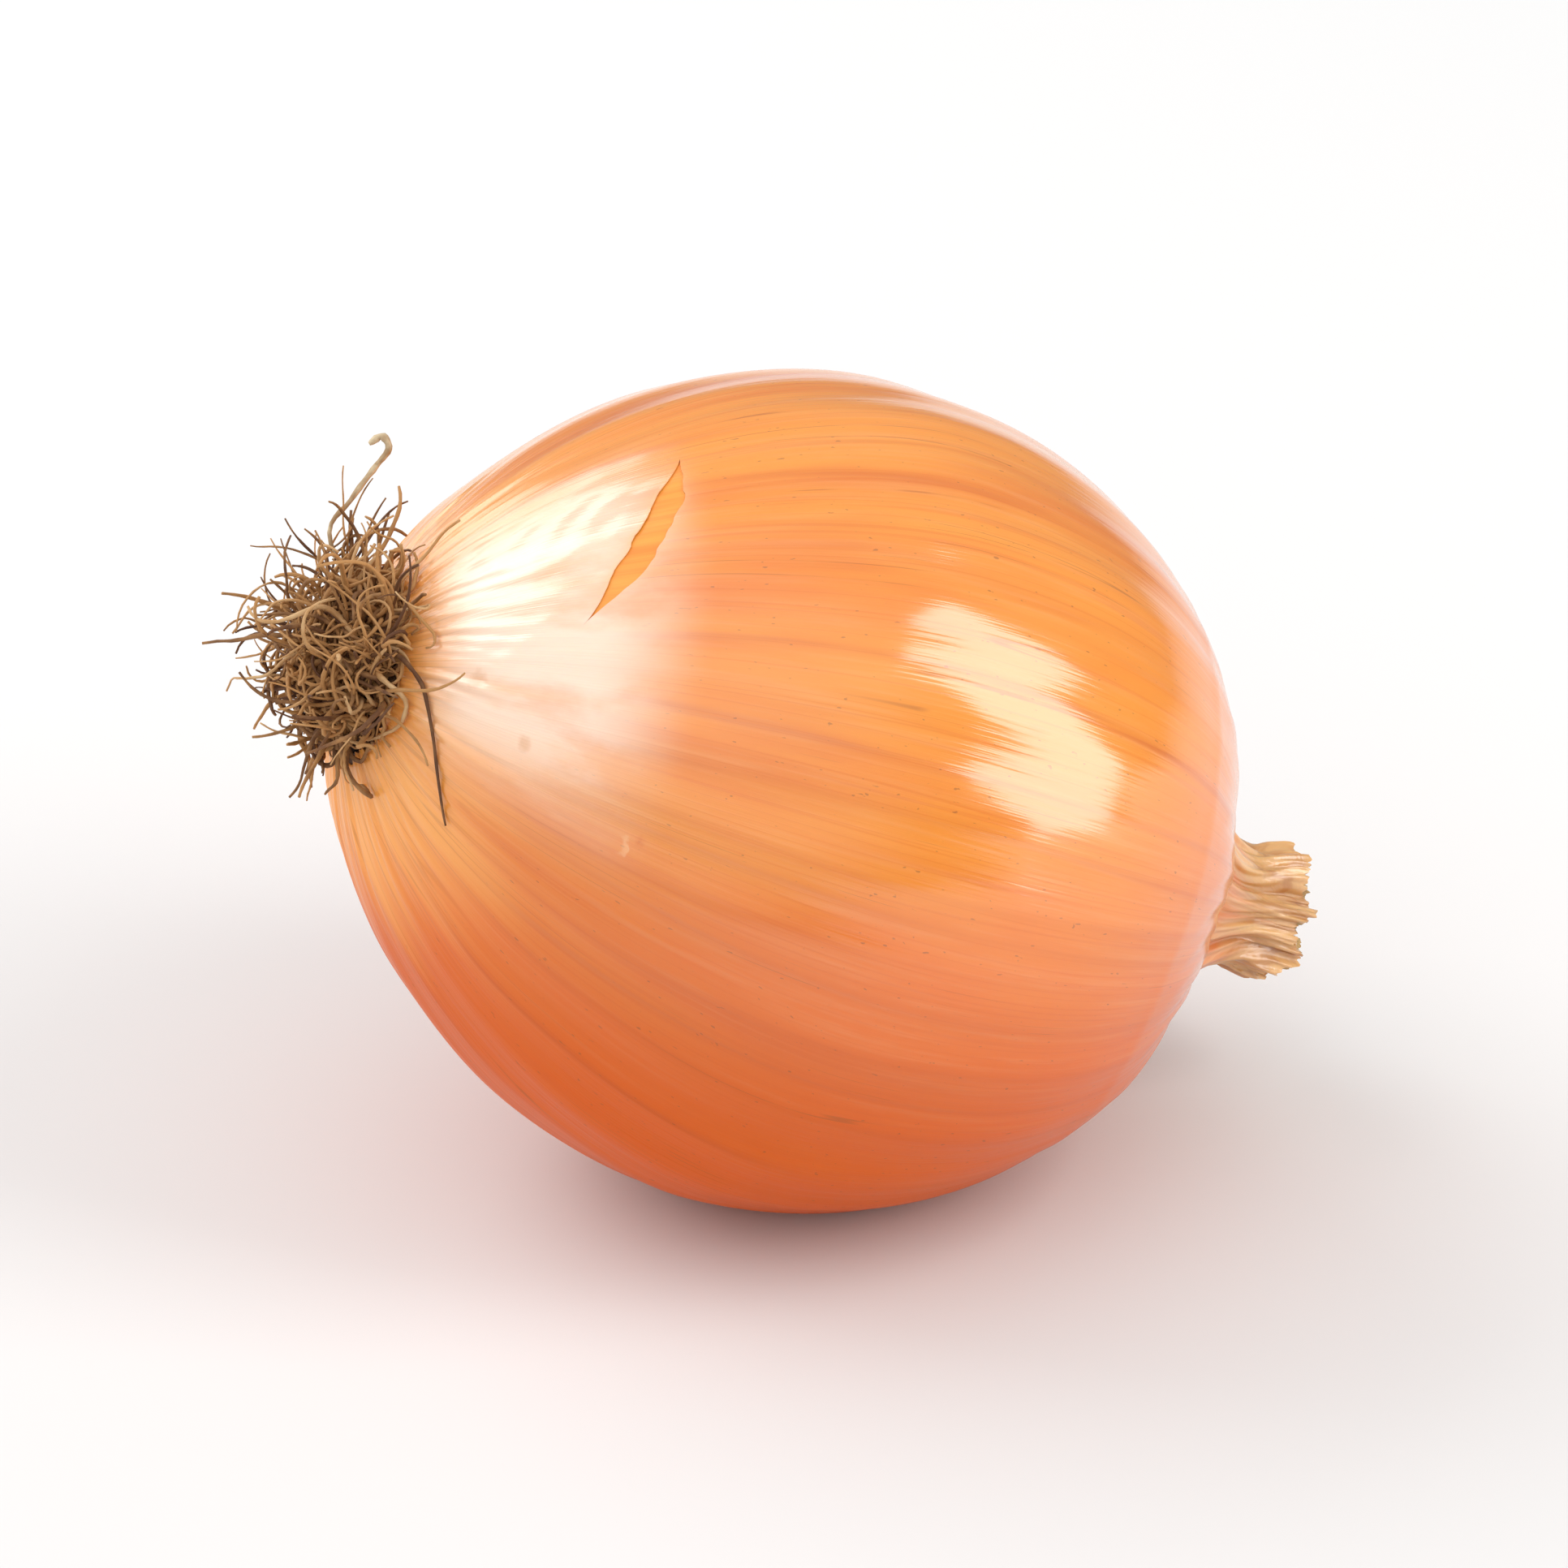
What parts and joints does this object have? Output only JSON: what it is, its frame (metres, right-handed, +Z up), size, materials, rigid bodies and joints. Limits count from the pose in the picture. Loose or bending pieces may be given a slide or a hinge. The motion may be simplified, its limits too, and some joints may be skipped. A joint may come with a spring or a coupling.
{
  "type": "onion",
  "caption": "Yellow bulb onion with papery skin, a short dried neck and a tuft of dried roots, lying on a small flat spot of its side.",
  "frame": {"origin": "middle of the small flat spot that the onion rests on", "axes": "+Z up from the surface it rests on; +X along the onion as it lies, towards its cut neck, with the root end raised at -X; +Y to the side turned away from the picture's camera"},
  "size_m": [0.0905, 0.065, 0.0646],
  "materials": {
    "onion_skin": "satin",
    "dried_root": "matte"
  },
  "bodies": {
    "root": {"bulb": "onion_skin", "root_tuft": "dried_root"}
  },
  "joints": []
}
